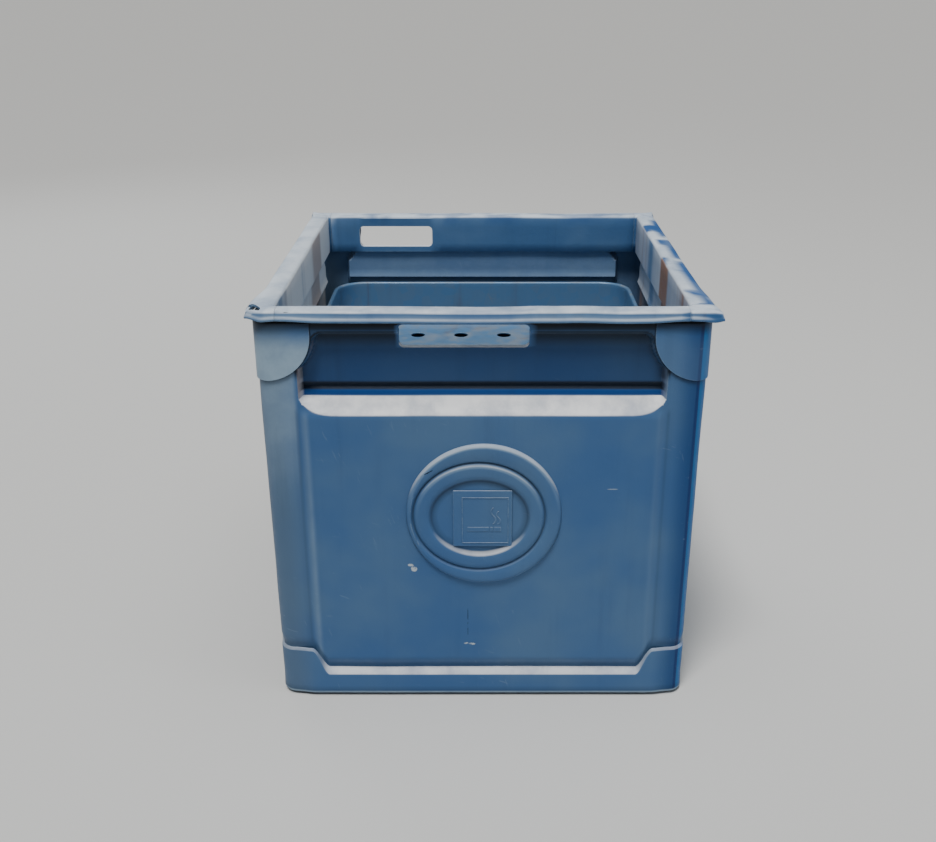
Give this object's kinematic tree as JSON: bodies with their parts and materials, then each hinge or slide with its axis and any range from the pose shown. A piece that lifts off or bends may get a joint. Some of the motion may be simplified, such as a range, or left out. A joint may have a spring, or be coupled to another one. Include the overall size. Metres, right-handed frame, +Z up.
{
  "type": "ashtray bin",
  "caption": "Square open-topped ashtray bin: moulded shell with an overhanging rim, hand slots and a shoe, holding a lift-out steel liner with a bail handle and a stub grate.",
  "frame": {"origin": "on the floor, under the middle of the bin", "axes": "+Z up; the front, with the medallion, faces -Y; +X is to the right of someone who faces the front"},
  "size_m": [0.412, 0.412, 0.3952],
  "materials": {
    "blue_moulding": "blue moulded plastic, faded and scuffed, with a low sheen",
    "pale_rim": "the same blue plastic, bleached pale by the sun on its upward faces",
    "coated_steel": "blue-grey coated sheet steel, stained inside",
    "bright_steel": "zinc-plated steel, dulled by weather",
    "black_rubber": "black rubber, dusty"
  },
  "bodies": {
    "carcass": {"body_shell": "blue_moulding", "base_shoe": "blue_moulding", "rim_rail_front": "pale_rim", "rim_rail_right": "pale_rim", "rim_rail_back": "pale_rim", "rim_rail_left": "pale_rim", "rim_corner_front_left": "pale_rim", "rim_corner_front_right": "pale_rim", "rim_corner_back_right": "pale_rim", "rim_corner_back_left": "pale_rim", "corner_gusset_front_left": "blue_moulding", "corner_gusset_front_right": "blue_moulding", "corner_gusset_back_right": "blue_moulding", "corner_gusset_back_left": "blue_moulding", "foot_front_left": "black_rubber", "foot_front_right": "black_rubber", "foot_back_right": "black_rubber", "foot_back_left": "black_rubber", "foot_screw_front_left": "bright_steel", "foot_screw_front_right": "bright_steel", "foot_screw_back_right": "bright_steel", "foot_screw_back_left": "bright_steel", "medallion_ring": "blue_moulding", "badge_plate": "blue_moulding"},
    "liner": {"liner_pail": "coated_steel", "bail_lug_left": "coated_steel", "bail_lug_right": "coated_steel"},
    "bail": {"bail_wire": "bright_steel", "bail_grip": "black_rubber"},
    "grate": {"stub_grate": "coated_steel", "grate_handle": "bright_steel", "handle_nut_left": "bright_steel", "handle_nut_right": "bright_steel"}
  },
  "joints": [
    {"name": "liner_lift", "type": "slide", "parent": "carcass", "child": "liner", "axis": [0, 0, 1], "range_m": [0, 0.4]},
    {"name": "bail_swing", "type": "hinge", "parent": "liner", "child": "bail", "pos_m": [0, 0, 0.329], "axis": [-1, 0, 0], "range_deg": [0, 183]},
    {"name": "grate_lift", "type": "slide", "parent": "liner", "child": "grate", "axis": [0, 0, 1], "range_m": [0, 0.12]}
  ]
}
